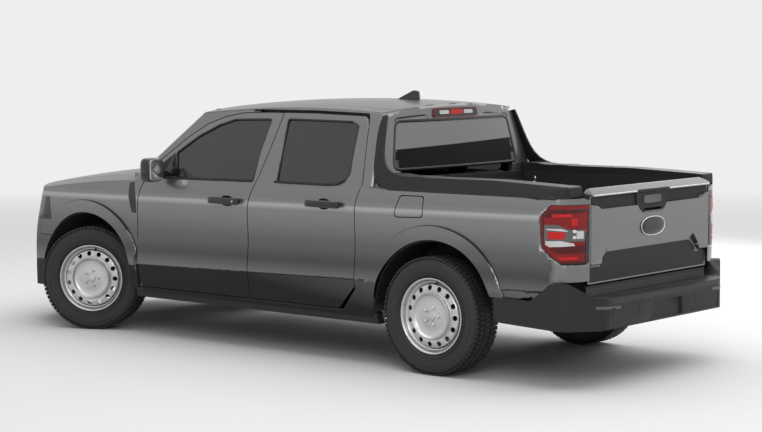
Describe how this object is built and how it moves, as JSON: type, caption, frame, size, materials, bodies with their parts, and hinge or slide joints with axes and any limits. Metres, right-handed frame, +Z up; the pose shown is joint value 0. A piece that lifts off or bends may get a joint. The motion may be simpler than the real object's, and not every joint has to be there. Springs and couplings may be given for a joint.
{
  "type": "pickup truck",
  "caption": "Compact crew-cab pickup truck with hinged doors, hood and tailgate, an open cargo bed and road wheels, the front pair steered left.",
  "frame": {"origin": "on the ground, at the centre of the bounding box seen from above", "axes": "+X to the left side of the truck, +Y to its rear, +Z up; the front faces -Y"},
  "size_m": [2.116, 5.0718, 1.6959],
  "materials": {
    "paint": "satin metallic paint",
    "black_plastic": "grained moulding",
    "grey_plastic": "grained bumper moulding",
    "gloss_black": "gloss",
    "tinted_glass": "tinted",
    "lamp_red": "gloss lens",
    "lamp_clear": "gloss lens",
    "rubber": "moulded rubber",
    "wheel_steel": "silver paint",
    "bed_plastic": "grained bed lining",
    "dark_steel": "underbody paint",
    "sheet_steel": "body primer",
    "cast": "cast",
    "trim_fabric": "woven",
    "cabin_plastic": "grained",
    "silencer_steel": "brushed"
  },
  "bodies": {
    "body": {"front_fenders": "paint", "front_bumper": "paint", "grille": "black_plastic", "headlamps": "lamp_clear", "cab_frame": "paint", "roof": "paint", "bed_sides": "paint", "tail_lamps": "lamp_red", "rail_caps": "black_plastic", "bed_liner": "bed_plastic", "rear_wall": "sheet_steel", "engine_bay": "sheet_steel", "cowl": "black_plastic", "floor_pan": "sheet_steel", "cab_glass": "tinted_glass", "high_brake_lamp": "lamp_red", "roof_fin": "gloss_black", "fender_vents": "gloss_black", "sill_cladding": "grey_plastic", "arch_liners": "black_plastic", "dashboard": "cabin_plastic", "front_seats": "trim_fabric", "rear_bench": "trim_fabric", "rear_bumper": "grey_plastic", "frame_rails": "dark_steel", "front_suspension": "dark_steel", "engine": "cast", "rear_axle": "dark_steel", "fuel_tank": "black_plastic", "exhaust": "silencer_steel", "spare_wheel": "rubber"},
    "hood": {"hood": "paint"},
    "tailgate": {"tailgate": "paint", "tailgate_handle": "black_plastic"},
    "fuel_door": {"fuel_door": "paint"},
    "steering_wheel": {"steering_wheel": "cabin_plastic"},
    "knuckle_left": {"knuckle_left": "cast"},
    "knuckle_right": {"knuckle_right": "cast"},
    "door_front_left": {"door_front_left": "paint", "glass_front_left": "tinted_glass", "trim_front_left": "black_plastic"},
    "door_front_right": {"door_front_right": "paint", "glass_front_right": "tinted_glass", "trim_front_right": "black_plastic"},
    "door_rear_left": {"door_rear_left": "paint", "glass_rear_left": "tinted_glass", "trim_rear_left": "black_plastic"},
    "door_rear_right": {"door_rear_right": "paint", "glass_rear_right": "tinted_glass", "trim_rear_right": "black_plastic"},
    "wheel_front_left": {"tyre_front_left": "rubber", "rim_front_left": "wheel_steel"},
    "wheel_front_right": {"tyre_front_right": "rubber", "rim_front_right": "wheel_steel"},
    "wheel_rear_left": {"tyre_rear_left": "rubber", "rim_rear_left": "wheel_steel"},
    "wheel_rear_right": {"tyre_rear_right": "rubber", "rim_rear_right": "wheel_steel"}
  },
  "joints": [
    {"name": "door_front_left_hinge", "type": "hinge", "parent": "body", "child": "door_front_left", "pos_m": [0.866, -1.062, 0.75], "axis": [0, 0, -1], "range_deg": [0, 66]},
    {"name": "door_front_right_hinge", "type": "hinge", "parent": "body", "child": "door_front_right", "pos_m": [-0.866, -1.062, 0.75], "axis": [0, 0, 1], "range_deg": [0, 66]},
    {"name": "door_rear_left_hinge", "type": "hinge", "parent": "body", "child": "door_rear_left", "pos_m": [0.866, -0.028, 0.75], "axis": [0, 0, -1], "range_deg": [0, 68]},
    {"name": "door_rear_right_hinge", "type": "hinge", "parent": "body", "child": "door_rear_right", "pos_m": [-0.866, -0.028, 0.75], "axis": [0, 0, 1], "range_deg": [0, 68]},
    {"name": "wheel_front_left_spin", "type": "hinge", "parent": "knuckle_left", "child": "wheel_front_left", "pos_m": [0.796, -1.67, 0.362], "axis": [0.9041, 0.4274, 0], "continuous": true},
    {"name": "wheel_front_right_spin", "type": "hinge", "parent": "knuckle_right", "child": "wheel_front_right", "pos_m": [-0.796, -1.67, 0.362], "axis": [0.9041, 0.4274, 0], "continuous": true},
    {"name": "wheel_rear_left_spin", "type": "hinge", "parent": "body", "child": "wheel_rear_left", "pos_m": [0.796, 1.406, 0.362], "axis": [1, 0, 0], "continuous": true},
    {"name": "wheel_rear_right_spin", "type": "hinge", "parent": "body", "child": "wheel_rear_right", "pos_m": [-0.796, 1.406, 0.362], "axis": [1, 0, 0], "continuous": true},
    {"name": "steer_left", "type": "hinge", "parent": "body", "child": "knuckle_left", "pos_m": [0.796, -1.67, 0.362], "axis": [0, 0, 1], "range_deg": [-59, 9]},
    {"name": "steer_right", "type": "hinge", "parent": "body", "child": "knuckle_right", "pos_m": [-0.796, -1.67, 0.362], "axis": [0, 0, 1], "range_deg": [-59, 9]},
    {"name": "steering_wheel_turn", "type": "hinge", "parent": "body", "child": "steering_wheel", "pos_m": [0.37, -0.82, 0.985], "axis": [0, 0.9135, 0.4067], "range_deg": [-863.7, 148.7]},
    {"name": "hood_hinge", "type": "hinge", "parent": "body", "child": "hood", "pos_m": [0, -1.26, 1.09], "axis": [-1, 0, 0], "range_deg": [0, 48]},
    {"name": "tailgate_hinge", "type": "hinge", "parent": "body", "child": "tailgate", "pos_m": [0, 2.38, 0.655], "axis": [-1, 0, 0], "range_deg": [0, 90]},
    {"name": "fuel_door_hinge", "type": "hinge", "parent": "body", "child": "fuel_door", "pos_m": [0.893, 1.135, 0.96], "axis": [0, -0.3184, -0.9479], "range_deg": [0, 90]}
  ],
  "couplings": [
    {"joint": "steer_right", "follows": "steer_left", "ratio": 1},
    {"joint": "steering_wheel_turn", "follows": "steer_left", "ratio": 14.3}
  ]
}
